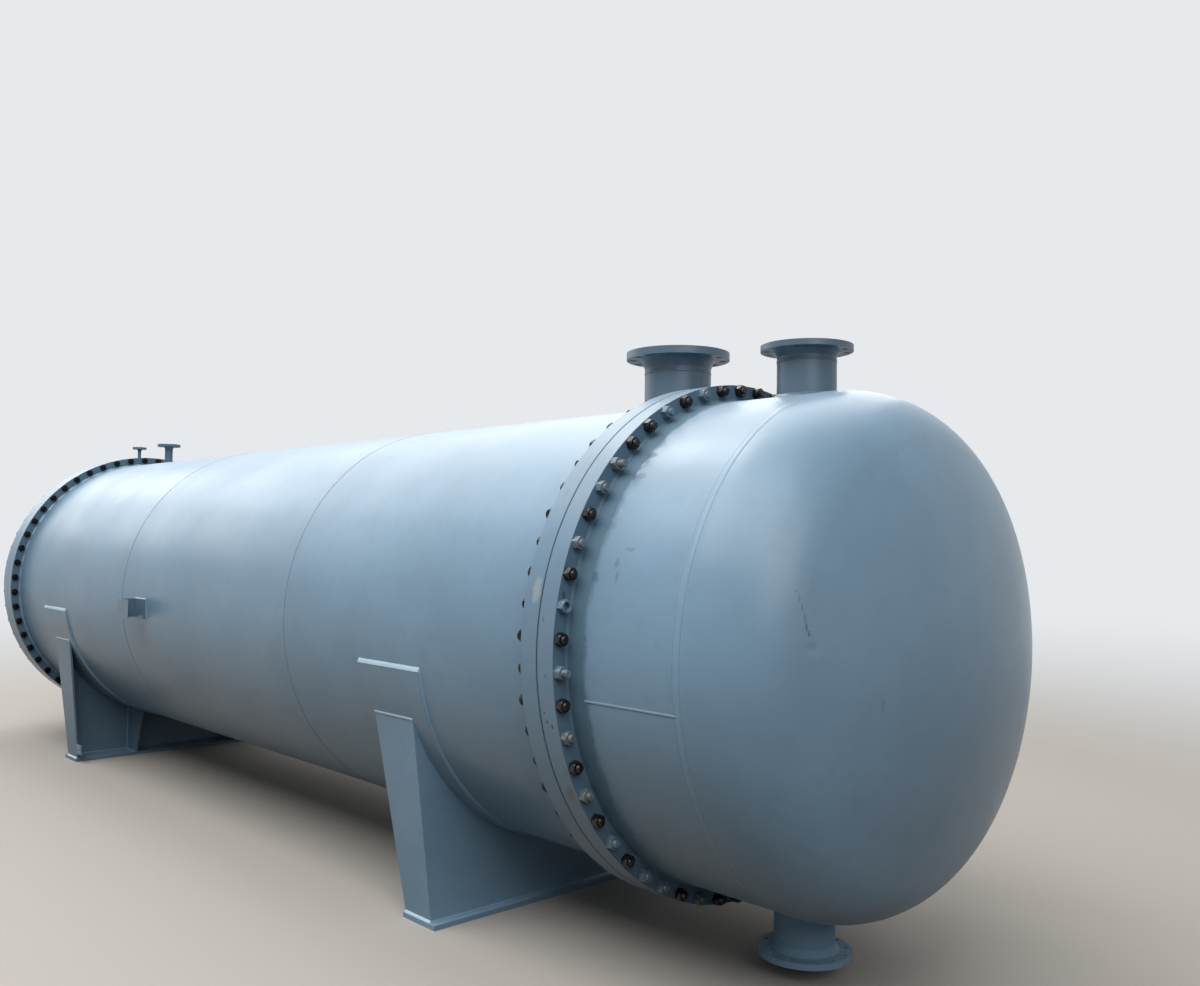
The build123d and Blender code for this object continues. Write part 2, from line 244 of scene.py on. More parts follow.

# %% [markdown]
# ## Vessel paint
#
# The whole vessel has one semi-gloss blue-grey coat, sprayed by hand. It isn't one flat colour: the
# spray leaves broad lighter and duller areas, faces that look up are blended paler, and orange peel
# breaks the highlights. Noise textures in the vessel's own coordinates give each of these, so that
# the pattern runs on unbroken from piece to piece. Two optional lists add what belongs to one place:
# darker bands with a ragged overspray edge, partly thin coat and partly painted shade, and small
# scuffs and stains, one of which is a painted shadow.

# %% Colour of the paint
vessel_tint = (0.164, 0.272, 0.376)


def scaled(colour, factor):
    """A colour made lighter or darker, with its alpha."""
    return tuple(min(1.0, factor * part) for part in colour) + (1.0,)


def coat_colour(tree, place, tint):
    """Broad lighter and duller areas, fine mottle, and a paler grey blended in on what looks up."""
    broad = noise(tree, place, 1.3, 4.0, 0.6)
    colour = blend(tree, ramp(tree, broad, 0.3, 0.7), scaled(tint, 0.92), scaled(tint, 1.08))
    mottle = ramp(tree, noise(tree, place, 17.0, 4.0), 0.50, 0.72, 0.0, 0.25)
    colour = blend(tree, mottle, colour, scaled(tint, 0.84))
    normal = add_node(tree, "ShaderNodeNewGeometry").outputs["Normal"]
    height = add_node(tree, "ShaderNodeSeparateXYZ", {"Vector": normal}).outputs["Z"]
    # Faces that look up are blended a little towards pale grey
    return blend(tree, ramp(tree, height, 0.5, 1.0, 0.0, 0.16), colour, (0.50, 0.54, 0.56, 1))


def band_share(tree, place, clean, ragged, strength, wander, soft):
    """How far a place lies in a band along the vessel that has one clean end and one ragged one."""
    along = add_node(tree, "ShaderNodeSeparateXYZ", {"Vector": place}).outputs["X"]
    way = 1 if ragged > clean else -1
    inside = ramp(tree, along, clean - 0.001 * way, clean + 0.001 * way)
    fine = work(tree, "MULTIPLY_ADD", noise(tree, place, 30.0, 4.0, 0.65), wander, -wander / 2)
    slow = work(tree, "MULTIPLY_ADD", noise(tree, place, 8.0), 1.4 * wander, -0.7 * wander)
    reach = work(tree, "ADD", along, work(tree, "ADD", fine, slow))
    before = ramp(tree, reach, ragged + soft * way, ragged - soft * way, 0.0, strength)
    return work(tree, "MULTIPLY", inside, before)


def mark_share(tree, place, where, sizes, strength):
    """How far a place lies in a small stain; sizes are the half lengths along X, Y and Z."""
    shrunk = vector_step(tree, "DIVIDE", vector_step(tree, "SUBTRACT", place, where), sizes)
    reach = vector_step(tree, "LENGTH", shrunk, result="Value")
    ragged = work(tree, "MULTIPLY_ADD", noise(tree, place, 60.0, 4.0, 0.65), 1.6, reach)
    return ramp(tree, ragged, 1.9, 1.3, 0.0, strength)


# %% Make the paint
def vessel_paint(name, tint=vessel_tint, rough=0.33, bands=(), marks=()):
    """Hand-sprayed paint with its own bands and marks."""
    material, tree, shader, place = new_material(name)
    colour = coat_colour(tree, place, tint)
    sheen = ramp(tree, noise(tree, place, 2.1, 3.0), 0.3, 0.7, rough - 0.04, rough + 0.05)
    for clean, ragged, shade, strength, wander, soft in bands:
        share = band_share(tree, place, clean, ragged, strength, wander, soft)
        colour = blend(tree, share, colour, shade + (1,))
        sheen = work(tree, "MULTIPLY_ADD", share, 0.4, sheen)
    for where, sizes, stain, strength in marks:
        share = mark_share(tree, place, where, sizes, strength)
        colour = blend(tree, share, colour, stain + (1,))
        sheen = work(tree, "MULTIPLY_ADD", share, 0.3, sheen)
    tree.links.new(colour, shader.inputs["Base Color"])
    tree.links.new(sheen, shader.inputs["Roughness"])
    edge = add_node(tree, "ShaderNodeBevel", {"Radius": 0.0015}, samples=4).outputs["Normal"]
    waves = bumps(tree, noise(tree, place, 34.0, 3.0), 0.0012, 0.20, edge)
    peel = bumps(tree, noise(tree, place, 170.0), 0.0006, 0.16, waves)
    tree.links.new(peel, shader.inputs["Normal"])
    return material


paint = vessel_paint("vessel_paint")
print("paint nodes:", len(paint.node_tree.nodes))

# %% [markdown]
# ## Paint on the solids
#
# The solids keep their shapes and take the paint in place of the plain slot colour. The spray gun
# never reached well behind the studs, so the flange's face and hub are darker, with ragged overspray
# where the barrel begins: partly a thin coat there, partly painted shade behind the studs. The shell's
# far end is darkened the same way, as painted shade by the joint. The near joint's rims, the nozzles
# and the far saddle are painted darker as painted shade, and the lowest nozzle paler as painted light.
# Scuffs, stains and one long scratch sit where handling left them, and one dark patch beyond a stud
# is a painted shadow. All this could be painted on images, but noise and distances need no image and
# stay sharp near by. The gasket is a dull black sheet.

# %% Bands and marks of single pieces
flange_thickness = 0.080  # its box is longer, by the hub
near_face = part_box("near_channel_flange")[0].x + flange_thickness
far_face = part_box("far_channel_flange")[1].x - flange_thickness
near_hub_end, far_hub_end = barrel_low.x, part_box("far_channel_barrel")[1].x
# A thin coat's colour, used also as painted shade at the hubs, at the shell's far end and by one stud
thin_coat_and_shade, joint_shade = (0.058, 0.120, 0.172), (0.030, 0.045, 0.060)
# A band has its clean and its ragged end along X, its shade, its strength, how far the ragged end
# wanders and how softly it fades
# The hub bands are partly a thin coat and partly painted shade behind the studs
near_hub_thin_coat_and_shade = (near_face - 0.002, near_hub_end + 0.015, thin_coat_and_shade, 0.80, 0.036, 0.016)
far_hub_thin_coat_and_shade = (far_face + 0.002, far_hub_end - 0.014, thin_coat_and_shade, 0.80, 0.050, 0.004)
sheet_face, flange_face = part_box("near_tubesheet")[1].x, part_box("near_channel_flange")[0].x
far_sheet_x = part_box("far_tubesheet")[1].x
far_sheet_face = (far_sheet_x + 0.002, far_sheet_x - 0.003, thin_coat_and_shade, 0.90, 0.001, 0.004)
# Painted shade on the far shell course, darkest next to the joint
far_shell_painted_shade = (far_sheet_x - 0.002, far_sheet_x + 0.20, thin_coat_and_shade, 0.50, 0.050, 0.190)
sheet_edge = (sheet_face + 0.002, sheet_face - 0.003, joint_shade, 0.75, 0.002, 0.004)
flange_edge = (flange_face - 0.002, flange_face + 0.003, joint_shade, 0.75, 0.002, 0.004)
oil, mud = (0.020, 0.045, 0.080), (0.20, 0.155, 0.085)
chalk, bare_edge, flaked = (0.44, 0.45, 0.44), (0.10, 0.09, 0.085), (0.20, 0.15, 0.14)
# A mark has its place, its half lengths along X, Y and Z, its colour and its strength
barrel_marks = [
    (around(1.118, barrel_radius, 133.1), (0.040, 0.022, 0.022), oil, 0.50),
    (around(1.136, barrel_radius, 139.6), (0.046, 0.018, 0.018), oil, 0.42),
    (around(1.208, barrel_radius, 160.6), (0.012, 0.016, 0.026), oil, 0.36),
    (around(1.253, barrel_radius, 157.6), (0.030, 0.014, 0.008), oil, 0.32),
    # The next patch, beyond a stud, is a painted shadow of that stud
    (around(1.118, barrel_radius, 163.7), (0.034, 0.020, 0.020), thin_coat_and_shade, 0.70),
    (around(1.088, barrel_radius, 176.5), (0.045, 0.016, 0.018), oil, 0.50),
    (around(1.224, barrel_radius, 163.5), (0.009, 0.012, 0.022), oil, 0.34),
    (around(1.139, barrel_radius, 152.5), (0.011, 0.013, 0.017), flaked, 0.34),
    (around(1.142, barrel_radius, 150.9), (0.009, 0.010, 0.012), flaked, 0.30),
    (around(1.145, barrel_radius, 148.8), (0.008, 0.010, 0.012), chalk, 0.22),
    (around(1.124, barrel_radius, 138.6), (0.007, 0.012, 0.012), chalk, 0.45),
    (around(1.121, barrel_radius, 136.0), (0.006, 0.016, 0.013), chalk, 0.60),
]
sheet_marks = [
    (around(0.925, girth_radius, 167.6), (0.024, 0.024, 0.060), chalk, 0.38),
    (around(0.905, girth_radius, 123.0), (0.030, 0.060, 0.050), chalk, 0.30),
    (around(0.915, girth_radius, 147.0), (0.012, 0.020, 0.030), mud, 0.30),
]
flange_marks = [
    (around(1.005, girth_radius, 208.3), (0.022, 0.030, 0.050), mud, 0.60),
    (around(1.020, girth_radius, 203.0), (0.016, 0.020, 0.020), mud, 0.50),
    (around(0.986, girth_radius, 192.9), (0.008, 0.008, 0.006), oil, 0.85),
    (around(1.007, girth_radius, 193.7), (0.008, 0.008, 0.008), oil, 0.85),
    (around(0.978, girth_radius, 191.2), (0.005, 0.006, 0.005), oil, 0.80),
    (around(0.999, girth_radius, 183.9), (0.005, 0.006, 0.008), oil, 0.50),
    (around(0.985, girth_radius, 118.0), (0.020, 0.040, 0.030), chalk, 0.40),
    (around(1.038, 0.957, 168.2), (0.004, 0.010, 0.016), oil, 0.75),
    (around(0.979, girth_radius, 173.2), (0.006, 0.006, 0.010), bare_edge, 0.60),
]
head_marks = [
    (Vector((1.809, -0.729, 1.408)), (0.007, 0.007, 0.008), oil, 0.28),
    (Vector((1.816, -0.723, 1.385)), (0.005, 0.005, 0.017), oil, 0.32),
    (Vector((1.823, -0.718, 1.360)), (0.004, 0.004, 0.018), oil, 0.36),
    (Vector((1.829, -0.713, 1.328)), (0.004, 0.004, 0.022), oil, 0.42),
    (Vector((1.833, -0.710, 1.304)), (0.005, 0.005, 0.017), oil, 0.50),
    (Vector((1.837, -0.704, 1.286)), (0.005, 0.005, 0.012), oil, 0.55),
    (Vector((1.842, -0.698, 1.250)), (0.022, 0.022, 0.016), thin_coat_and_shade, 0.30),
    (Vector((1.848, -0.687, 1.234)), (0.030, 0.030, 0.022), chalk, 0.08),
    (Vector((1.930, -0.465, 1.070)), (0.008, 0.008, 0.030), oil, 0.20),
]
print("marks:", len(barrel_marks) + len(sheet_marks) + len(flange_marks) + len(head_marks))

# %% Give each solid its finish
gasket_sheet, gasket_tree, gasket_shader, gasket_place = new_material("gasket_sheet")
fibre_grain = noise(gasket_tree, gasket_place, 220.0, 3.0)
fibre = blend(gasket_tree, fibre_grain, (0.008, 0.014, 0.020, 1), (0.020, 0.030, 0.040, 1))
gasket_tree.links.new(fibre, gasket_shader.inputs["Base Color"])
gasket_shader.inputs["Roughness"].default_value = 0.8
# These tints are darker than the coat, as painted shade: on the near joint's rims, the far saddle and the
# nozzles
rim_shade_tint, far_saddle_shade_tint, nozzle_shade_tint = (scaled(vessel_tint, factor)[:3] for factor in (0.88, 0.68, 0.46))
finishes = {
    "near_gasket": gasket_sheet,
    "far_gasket": gasket_sheet,
    "far_tubesheet": vessel_paint("far_sheet_paint", bands=[far_sheet_face]),
    "far_shell_course": vessel_paint("far_shell_paint", bands=[far_shell_painted_shade]),
    "far_saddle_wrapper_pad": paint,
    "data_plate_bracket": vessel_paint("bracket_paint", scaled(vessel_tint, 0.62)[:3]),
    "near_tubesheet": vessel_paint("near_sheet_paint", rim_shade_tint, bands=[sheet_edge], marks=sheet_marks),
    "near_channel_flange": vessel_paint("near_flange_paint", rim_shade_tint, bands=[near_hub_thin_coat_and_shade, flange_edge],
                                        marks=flange_marks),
    "far_channel_flange": vessel_paint("far_flange_paint", bands=[far_hub_thin_coat_and_shade]),
    "near_channel_barrel": vessel_paint("near_barrel_paint", bands=[near_hub_thin_coat_and_shade], marks=barrel_marks),
    "far_channel_barrel": vessel_paint("far_barrel_paint", bands=[far_hub_thin_coat_and_shade]),
    "near_head": vessel_paint("near_head_paint", marks=head_marks),
}
# Painted light: a paler patch round the lowest nozzle
bottom_nozzle_painted_light = (Vector((1.32, 0, 0.10)), (0.6, 0.6, 0.7), scaled(vessel_tint, 1.3)[:3], 0.85)
group_finishes = {
    "nozzle": vessel_paint("nozzle_shaded_paint", nozzle_shade_tint, rough=0.40, marks=[bottom_nozzle_painted_light]),
    "far_saddle": vessel_paint("far_saddle_shaded_paint", far_saddle_shade_tint),
}
nozzle_shaded_paint = group_finishes["nozzle"]
for name, solid in frame["nodes"].items():
    shared = [finish for part, finish in group_finishes.items() if part in name]
    solid.data.materials.clear()
    solid.data.materials.append(finishes.get(name, (shared + [paint])[0]))
print("finished solids:", len(frame["nodes"]))

# %% [markdown]
# ## Small pieces as one mesh
#
# A girth joint has 56 studs, each with two nuts. Each could be an object, but a joint's worth of like
# pieces is easier to handle as one mesh. The helper below gathers points and faces, and turns them
# into an object that rides on the vessel. Edges sharper than a set angle stay crisp, the rest is
# smooth.

# %% Gather shapes into one mesh
class Shapes:
    """Points and faces of many small forms that become one object."""

    def __init__(self):
        self.points, self.faces = [], []

    def skin(self, rings, closed=False):
        """Skins rings of equal point counts; caps both ends unless the path is closed."""
        start, count = len(self.points), len(rings[0])
        for ring in rings:
            self.points.extend(ring)
        for row in range(len(rings) if closed else len(rings) - 1):
            low, high = start + row * count, start + (row + 1) % len(rings) * count
            for k in range(count):
                after = (k + 1) % count
                self.faces.append((low + k, low + after, high + after, high + k))
        if not closed:
            last = start + (len(rings) - 1) * count
            self.faces.append(tuple(start + k for k in reversed(range(count))))
            self.faces.append(tuple(last + k for k in range(count)))

    def make(self, name, material, crisp=35):
        """The finished object, riding on the vessel."""
        mesh = bpy.data.meshes.new(name)
        mesh.from_pydata(self.points, [], self.faces)
        mesh.validate()
        mesh.shade_smooth()
        mesh.set_sharp_from_angle(angle=math.radians(crisp))
        mesh.materials.append(material)
        piece = bpy.data.objects.new(name, mesh)
        bpy.context.scene.collection.objects.link(piece)
        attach(piece, "root")
        print(name, "has", sum(len(face) - 2 for face in self.faces), "triangles")


# %% [markdown]
# ## Studs and nuts of the girth joints
#
# Each joint is held by 56 studs with a nut at both ends. On the channel's side the studs stand a few
# threads proud of their nuts, and a nut is a hexagon whose corners are turned down to a chamfer. The
# thread shows as fine rings, so the stud's end is turned with small grooves in place of a helix.
# About half the nuts were painted with the vessel. The rest were fitted later, bare and oily, and
# have gone a dark brown. On the shell's side the studs end flush in lower nuts.

# %% Sizes of the studs
stud_count = 56
stud_circle = 0.9575
stud_radius = 0.0135
nut_across = 0.041
nut_height = 0.026
thread_pitch = 0.003
usual_proud = (0.008, 0.014)  # from the nut's face to the stud's end
height_behind, tall_height, proud_behind = (0.013, 0.017), 0.023, 0.002
spins = (0, 1.05)  # about a sixth of a turn, after which a hexagon looks the same
bare_chance = 0.6  # where the photograph doesn't show the nut

# Studs are counted from the top towards the front. These are the ones that the photograph shows
numbers_in_view = range(-1, 27)
near_bare = {-1, 0, 1, 3, 5, 6, 9, 11, 13, 15, 17, 19, 21, 24, 26}
proud_at = {7: 0.028, 12: -0.004, 14: 0.024}
tall_behind = {5, 6, 9, 13, 15, 18}
print("spacing of the studs:", round(math.tau * stud_circle / stud_count, 4))

# %% Shapes of a nut and a stud's end
def nut(shapes, centre, outward, sideways, height, spin, hollow=False):
    """A hexagon nut that stands on centre and points outward, with its free corners turned off.

    A hollow one shows its bore, where the stud ends far inside it.
    """
    corner = nut_across / math.sqrt(3)
    across = outward.cross(sideways)
    rings = []
    steps = [(0.0, 1.0), (0.70, 1.0), (0.86, 0.95), (1.0, 0.86), (1.0, 0.64)]
    if hollow:
        steps += [(0.92, 0.55), (0.30, 0.53)]
    for level, limit in steps:
        ring = []
        for k in range(24):
            turn = math.tau * k / 24
            flat = nut_across / 2 / math.cos(turn % (math.pi / 3) - math.pi / 6)
            reach = min(flat, limit * corner)
            spoke = sideways * math.cos(turn + spin) + across * math.sin(turn + spin)
            ring.append(centre + outward * (height * level) + spoke * reach)
        rings.append(ring)
    shapes.skin(rings)


def stud_end(shapes, start, outward, sideways, length):
    """The grooved end of a stud, with a small chamfer at its tip."""
    across = outward.cross(sideways)
    grooves = max(1, round(length / thread_pitch))
    levels = [(step / 2 / grooves, 1.0 if step % 2 else 0.90) for step in range(2 * grooves)]
    levels += [(0.95, 0.98), (1.0, 0.80)]
    rings = []
    for level, share in levels:
        ring = []
        for k in range(14):
            turn = math.tau * k / 14
            spoke = sideways * math.cos(turn) + across * math.sin(turn)
            ring.append(start + outward * (length * level) + spoke * (stud_radius * share))
        rings.append(ring)
    shapes.skin(rings)


# %% [markdown]
# The bare nuts need a finish of their own: dark brown oxide under a film of oil, which still shines
# at its edges, with redder rust where it is thickest. On the shell's side it is duller. The painted
# nuts have the vessel's colour, a little darker and dirty. Both could be one material with a mask, but
# two plain ones are easier to read.

# %% Bare and painted fastener finishes
def oiled_steel(name, shine):
    """Dark oxidised steel with reddish rust in patches."""
    material, tree, shader, place = new_material(name)
    blotch = noise(tree, place, 55.0, 5.0, 0.65)
    rust = ramp(tree, blotch, 0.46, 0.74, 0.0, 0.9)
    colour = blend(tree, rust, (0.006, 0.005, 0.005, 1), (0.036, 0.012, 0.010, 1))
    tree.links.new(colour, shader.inputs["Base Color"])
    tree.links.new(ramp(tree, blotch, 0.35, 0.70, 0.16, 0.42), shader.inputs["Roughness"])
    tree.links.new(bumps(tree, noise(tree, place, 600.0), 0.0004, 0.4), shader.inputs["Normal"])
    shader.inputs["Specular IOR Level"].default_value = shine
    return material


def painted_steel(name):
    """The vessel's paint over nuts and studs, chipped and dirty in places."""
    material, tree, shader, place = new_material(name)
    pale = scaled(vessel_tint, 0.72)
    dusty = blend(tree, ramp(tree, noise(tree, place, 3.0), 0.40, 0.60), pale, (0.13, 0.155, 0.155, 1))
    grime = ramp(tree, noise(tree, place, 75.0, 5.0, 0.7), 0.52, 0.68, 0.0, 0.75)
    tree.links.new(blend(tree, grime, dusty, (0.035, 0.045, 0.050, 1)), shader.inputs["Base Color"])
    shader.inputs["Roughness"].default_value = 0.34
    tree.links.new(bumps(tree, noise(tree, place, 240.0), 0.0006, 0.4), shader.inputs["Normal"])
    return material


bare_steel, dull_steel = oiled_steel("bare_stud_steel", 0.42), oiled_steel("dull_stud_steel", 0.12)
nut_paint = painted_steel("nut_paint")

# %% The two girth joints
picks = random.Random(7)
bare_shapes, painted_shapes, behind_shapes = Shapes(), Shapes(), Shapes()
joints = {
    "near": (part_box("near_tubesheet")[0].x, near_face, 1),
    "far": (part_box("far_tubesheet")[1].x, far_face, -1),
}
for side, (sheet_face, channel_face, way) in joints.items():
    outward = Vector((way, 0, 0))
    for k in range(stud_count):
        number = k if k < stud_count / 2 else k - stud_count
        angle = 90 + (number + 0.5) * 360 / stud_count
        in_view = side == "near" and number in numbers_in_view
        bare = number in near_bare if in_view else picks.random() < bare_chance
        proud = picks.uniform(*usual_proud)
        if in_view:
            proud = proud_at.get(number, proud)
        shapes = bare_shapes if bare else painted_shapes
        round_way = directions(angle)[1]
        on_face = around(channel_face, stud_circle, angle)
        behind = around(sheet_face, stud_circle, angle)
        tall = in_view and number in tall_behind
        low_height = tall_height if tall else picks.uniform(*height_behind)
        hollow = proud < 0
        nut(shapes, on_face, outward, round_way, nut_height, picks.uniform(*spins), hollow)
        if not hollow:
            stud_end(shapes, on_face, outward, round_way, nut_height + proud)
        nut(behind_shapes, behind, -outward, round_way, low_height, picks.uniform(*spins))
        stud_end(behind_shapes, behind, -outward, round_way, low_height + proud_behind)
bare_shapes.make("girth_studs_bare", bare_steel)
painted_shapes.make("girth_studs_painted", nut_paint)
behind_shapes.make("girth_studs_behind", dull_steel)

# %% [markdown]
# ## Weld beads
#
# Weld metal stands a little proud of the plates and shows the welder's steps as a row of small
# ripples. A bead is a low arch that runs along its seam, and its height swells and shrinks at each
# ripple. The head's seam is the widest, since the head is the thickest edge and was welded in several
# passes. The near channel's own long seam stands out in front, a little below the axis.

# %% Weld bead along a path
sunk = 0.0015  # how far a bead's underside lies in the plate


def bead(shapes, path, normals, wide, proud, closed=False, seed=1):
    """A low bead along a path of points; normals say which way it stands out of the plate."""
    draws = random.Random(seed)
    rings = []
    last = len(path) - 1
    for i, (point, normal) in enumerate(zip(path, normals)):
        before = path[i - 1] if i or closed else point
        after = path[(i + 1) % len(path)] if i < last or closed else point
        across = (after - before).normalized().cross(normal).normalized()
        height = proud * (1 + (0.12 if i % 2 else -0.12) + draws.uniform(-0.08, 0.08))
        half = wide / 2 * (1 + draws.uniform(-0.04, 0.04))
        ring = []
        for k in range(7):
            share = 1 - k / 3
            ring.append(point + across * (half * share) + normal * (height * (1 - share * share)))
        ring.append(point - normal * sunk)
        rings.append(ring)
    shapes.skin(rings, closed)


def ring_path(x, radius, first=0.0, last=360.0, step=0.010):
    """Points and outward directions round the vessel, a step apart."""
    closed = last - first >= 360
    count = 2 * max(4, round(math.radians(last - first) * radius / step / 2))
    spans = count if closed else count - 1
    angles = [first + (last - first) * k / spans for k in range(count)]
    return [around(x, radius, a) for a in angles], [directions(a)[0] for a in angles]


def butt_ring(shapes, x, radius, wide, proud, seed):
    """A weld bead right round the vessel."""
    path, outs = ring_path(x, radius)
    bead(shapes, path, outs, wide, proud, closed=True, seed=seed)


def straight(start, end, step=0.009):
    """Points from start to end, a step apart."""
    count = max(3, round((end - start).length / step))
    return [start.lerp(end, k / (count - 1)) for k in range(count)]


# %% Seams round and along the vessel
seams, course_seams, hub_rounds = Shapes(), Shapes(), Shapes()
welds, bright_welds = Shapes(), Shapes()
# Each pair of rings has its mesh, places along X, radius, width, height above the plate, first seed
butt_rings = [
    (seams, (near_seam, far_seam), barrel_radius, 0.028, 0.0016, 11),
    (hub_rounds, (near_hub_end, far_hub_end), barrel_radius, 0.010, 0.0010, 13),
    (course_seams, (course_high.x, course_low.x), shell_radius, 0.010, 0.0018, 15),
]
for shapes, places, radius, wide, proud, first_seed in butt_rings:
    for seed, x in enumerate(places, first_seed):
        butt_ring(shapes, x, radius, wide, proud, seed)
long_seam_angle = 189.0
out_of_seam = directions(long_seam_angle)[0]
long_seam = straight(around(near_hub_end, barrel_radius, long_seam_angle),
                     around(near_seam, barrel_radius, long_seam_angle))
bead(welds, long_seam, [out_of_seam] * len(long_seam), wide=0.011, proud=0.0021, seed=17)
print("seam points:", len(seams.points))

# %% [markdown]
# ## Fillet welds
#
# Where two plates meet at a corner, the weld fills the corner with a small three-sided bead. A strip
# swept along the corner would do, but a real fillet swells with each ripple. So its section, a shallow
# arch between a toe on each plate, is built anew at each point of the path, as for the beads above.

# %% Fillet weld along a corner
def fillet(shapes, path, firsts, seconds, leg, other_leg=None, closed=False, seed=1):
    """A weld in a corner; firsts and seconds point from the corner along its two walls."""
    draws = random.Random(seed)
    rings = []
    for i, (point, first, second) in enumerate(zip(path, firsts, seconds)):
        swell = 1 + (0.07 if i % 2 else -0.07) + draws.uniform(-0.05, 0.05)
        a, b = first * (leg * swell), second * ((other_leg or leg) * swell)
        rings.append([point + a, point + a * 0.68 + b * 0.44, point + a * 0.44 + b * 0.68, point + b,
                      point - (first + second) * sunk])
    shapes.skin(rings, closed)


def line_fillet(shapes, start, end, first, second, leg, other_leg=None, seed=1):
    """A fillet weld along a straight corner."""
    path = straight(Vector(start), Vector(end))
    firsts = [Vector(first).normalized()] * len(path)
    seconds = [Vector(second).normalized()] * len(path)
    fillet(shapes, path, firsts, seconds, leg, other_leg, seed=seed)


upward, downward = (0, 0, 1), (0, 0, -1)


# %% Tubesheets to shell, and pads to shell
for x, way in ((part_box("near_tubesheet")[0].x, -1), (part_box("far_tubesheet")[1].x, 1)):
    path, outs = ring_path(x, shell_radius)
    fillet(welds, path, outs, [Vector((way, 0, 0))] * len(path), 0.010, closed=True, seed=21)
pad_half_angle = 81.4
pad_thickness = 0.010
pad_radius = shell_radius + pad_thickness
for name in ("near_saddle_wrapper_pad", "far_saddle_wrapper_pad"):
    pad_low, pad_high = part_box(name)
    for x, way in ((pad_low.x, -1), (pad_high.x, 1)):
        path, outs = ring_path(x, shell_radius, 270 - pad_half_angle, 270 + pad_half_angle)
        fillet(welds, path, outs, [Vector((way, 0, 0))] * len(path), 0.009, 0.011, seed=22)
    for turn in (-1, 1):
        angle = 270 + turn * pad_half_angle
        out, round_way = directions(angle)
        start, end = around(pad_low.x, shell_radius, angle), around(pad_high.x, shell_radius, angle)
        line_fillet(bright_welds, start, end, out, round_way * turn, 0.011, 0.017, seed=23)
print("weld points so far:", len(welds.points))

# %% [markdown]
# ## Welds of the saddles
#
# A saddle is a base plate, a web cut to the shell's round, two leaning end ribs and two inner ribs.
# Its boxes give the corners where they meet. The end ribs' inner lines are worked out from where
# they stand on the base plate and where the web ends at the top.

# %% Saddle plates to base plates
rib_foot_y = 0.760  # outer face of the end ribs on the base plate
rib_foot_width = 0.180  # of every rib on the base plate, from the web's outer face
rib_top_width = 0.276  # of every rib at the pad
plate = 0.012
stop_short = 0.002  # where a weld up the web ends below the web's corner
saddles = (("near", 1), ("far", -1))  # with the way along X that the web's plain face looks


def saddle_lines(name, side):
    """Top of the base plate, top corner of the web, and the web's outer and inner faces along X."""
    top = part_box(f"{name}_saddle_base_plate")[1].z
    web_low, web_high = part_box(f"{name}_saddle_web")
    outer_x, inner_x = (web_high.x, web_low.x) if side > 0 else (web_low.x, web_high.x)
    return top, web_high, outer_x, inner_x


for name, side in saddles:
    top, web_high, outer_x, inner_x = saddle_lines(name, side)
    foot_x = outer_x - side * rib_foot_width
    web_y = rib_foot_y - plate
    for way in (-1, 1):
        foot_y = way * rib_foot_y
        start, end = (outer_x, foot_y, top), (foot_x, foot_y, top)
        line_fillet(bright_welds, start, end, (0, way, 0), upward, 0.010, seed=31)
        foot, crest = (inner_x, way * web_y, top), (inner_x, way * (web_high.y - stop_short), web_high.z)
        line_fillet(welds, foot, (foot_x, way * web_y, top), (0, -way, 0), upward, 0.007, seed=32)
        line_fillet(welds, foot, crest, (0, -way, 0), (-side, 0, 0), 0.007, seed=33)
    for x, end_y, way in ((outer_x, rib_foot_y, side), (inner_x, web_y, -side)):
        line_fillet(welds, (x, -end_y, top), (x, end_y, top), (way, 0, 0), upward, 0.008, seed=34)
print("weld points so far:", len(welds.points))

# %% Inner ribs, and all plates to the pads
for name, side in saddles:
    top, web_high, outer_x, inner_x = saddle_lines(name, side)
    foot_x, head_x = outer_x - side * rib_foot_width, outer_x - side * rib_top_width
    for word in ("front", "back"):
        rib_low, rib_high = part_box(f"{name}_saddle_inner_rib_{word}")
        for y, way in ((rib_low.y, -1), (rib_high.y, 1)):
            pad_z = axis_z - math.sqrt(pad_radius ** 2 - y ** 2)
            foot, crest = (inner_x, y, top), (inner_x, y, pad_z)
            line_fillet(welds, foot, (foot_x, y, top), (0, way, 0), upward, 0.007, seed=41)
            line_fillet(welds, foot, crest, (0, way, 0), (-side, 0, 0), 0.006, seed=42)
            line_fillet(welds, crest, (head_x, y, pad_z), (0, way, 0), downward, 0.007, seed=43)
    reach = math.degrees(math.acos((axis_z - web_high.z) / pad_radius))
    for x, way in ((outer_x, side), (inner_x, -side)):
        path, outs = ring_path(x, pad_radius, 270 - reach, 270 + reach)
        inward = [-out for out in outs]
        fillet(welds, path, inward, [Vector((way, 0, 0))] * len(path), 0.009, seed=44)
    for word in ("front", "back"):
        rib_low, rib_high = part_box(f"{name}_saddle_end_rib_{word}")
        crest = math.degrees(math.acos((axis_z - rib_high.z) / pad_radius))
        angle = 270 - crest if word == "front" else 270 + crest
        path = straight(around(outer_x, pad_radius, angle), around(head_x, pad_radius, angle))
        bead(bright_welds, path, [directions(angle)[0]] * len(path), wide=0.015, proud=0.0035, seed=45)
print("weld points so far:", len(welds.points))

# %% [markdown]
# ## Nozzles and flange hubs
#
# A nozzle's neck passes through the wall and is welded round on the outside. Higher up, a butt weld
# joins the neck to the flange's hub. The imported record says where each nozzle's gasket face is, so
# the places come from there. The girth flanges are forgings, and a smooth round runs between the
# face and the hub.

